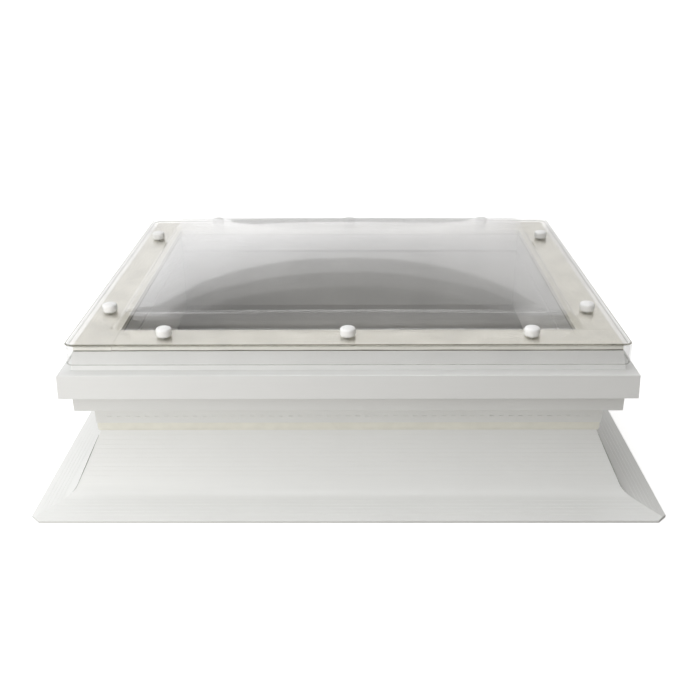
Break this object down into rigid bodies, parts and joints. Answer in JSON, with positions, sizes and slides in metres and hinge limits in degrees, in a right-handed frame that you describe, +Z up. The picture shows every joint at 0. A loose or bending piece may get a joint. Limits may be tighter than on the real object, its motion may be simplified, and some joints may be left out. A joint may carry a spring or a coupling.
{
  "type": "ventilating dome rooflight",
  "caption": "Rectangular flat-roof dome rooflight: a hinged multi-skin clear dome on an insulated, flared plastic kerb, opened by a crank-driven spindle.",
  "frame": {"origin": "centre of the kerb's base, on the roof surface", "axes": "+X along the long side, +Y towards the hinges, +Z up"},
  "size_m": [1.1114, 0.9114, 0.378],
  "materials": {
    "kerb_pvc": "extruded white PVC, satin",
    "insulation_foam": "rigid polyurethane foam",
    "clip_pvc": "extruded white PVC, satin",
    "clip_lip": "soft cream PVC",
    "frame_pvc": "extruded white PVC, satin",
    "seal_rubber": "black EPDM",
    "sash_pvc": "extruded white PVC, satin",
    "spacer_foam": "closed-cell cream foam",
    "outer_acrylic": "clear acrylic, thermoformed",
    "middle_acrylic": "clear acrylic, thermoformed",
    "inner_acrylic": "clear acrylic, thermoformed",
    "washer_rubber": "grey EPDM",
    "screw_steel": "zinc-plated steel",
    "cap_plastic": "white polyethylene",
    "hinge_steel": "stainless steel",
    "pin_steel": "stainless steel",
    "rivet_aluminium": "aluminium",
    "opener_enamel": "white powder coat",
    "opener_nylon": "white nylon",
    "rod_steel": "chromed steel"
  },
  "bodies": {
    "base": {"kerb_front": "kerb_pvc", "kerb_back": "kerb_pvc", "kerb_left": "kerb_pvc", "kerb_right": "kerb_pvc", "kerb_insulation": "insulation_foam", "membrane_clip_front": "clip_pvc", "membrane_clip_back": "clip_pvc", "membrane_clip_left": "clip_pvc", "membrane_clip_right": "clip_pvc", "membrane_clip_lips": "clip_lip", "fixed_frame_front": "frame_pvc", "fixed_frame_back": "frame_pvc", "fixed_frame_left": "frame_pvc", "fixed_frame_right": "frame_pvc", "weather_seal": "seal_rubber", "frame_screws": "screw_steel", "hinge_frame_leaf_left": "hinge_steel", "hinge_frame_leaf_right": "hinge_steel", "hinge_frame_rivets": "rivet_aluminium", "opener_wall_bracket": "opener_enamel", "opener_wall_screws": "screw_steel"},
    "sash": {"sash_frame_front": "sash_pvc", "sash_frame_back": "sash_pvc", "sash_frame_left": "sash_pvc", "sash_frame_right": "sash_pvc", "dome_spacer_front": "spacer_foam", "dome_spacer_back": "spacer_foam", "dome_spacer_left": "spacer_foam", "dome_spacer_right": "spacer_foam", "dome_outer": "outer_acrylic", "dome_middle": "middle_acrylic", "dome_inner": "inner_acrylic", "dome_washers": "washer_rubber", "dome_screws": "screw_steel", "screw_caps": "cap_plastic", "hinge_sash_leaf_left": "hinge_steel", "hinge_sash_leaf_right": "hinge_steel", "hinge_pin_left": "pin_steel", "hinge_pin_right": "pin_steel", "hinge_sash_rivets": "rivet_aluminium", "opener_sash_bracket": "opener_enamel", "opener_eye_pin": "pin_steel", "opener_sash_screws": "screw_steel"},
    "opener_body": {"opener_collar": "opener_nylon", "opener_tube": "opener_enamel", "opener_guide": "opener_nylon"},
    "opener_rod": {"opener_rod": "rod_steel"},
    "opener_crank": {"opener_crank": "rod_steel"}
  },
  "joints": [
    {"name": "sash_hinge", "type": "hinge", "parent": "base", "child": "sash", "pos_m": [0, 0.402, 0.204], "axis": [-1, 0, 0], "range_deg": [0, 15]},
    {"name": "opener_tilt", "type": "hinge", "parent": "base", "child": "opener_body", "pos_m": [0, -0.272, 0.15], "axis": [-1, 0, 0], "range_deg": [0, 7.7]},
    {"name": "rod_slide", "type": "slide", "parent": "opener_body", "child": "opener_rod", "axis": [0, 0, 1], "range_m": [0, 0.1755]},
    {"name": "crank_turn", "type": "hinge", "parent": "opener_body", "child": "opener_crank", "pos_m": [0, -0.272, 0.03], "axis": [0, 0, 1], "range_deg": [0, 12605]}
  ],
  "couplings": [
    {"joint": "opener_tilt", "follows": "sash_hinge", "ratio": 0.50695},
    {"joint": "rod_slide", "follows": "sash_hinge", "m_per_rad": 0.66842},
    {"joint": "crank_turn", "follows": "sash_hinge", "ratio": 839.96}
  ]
}
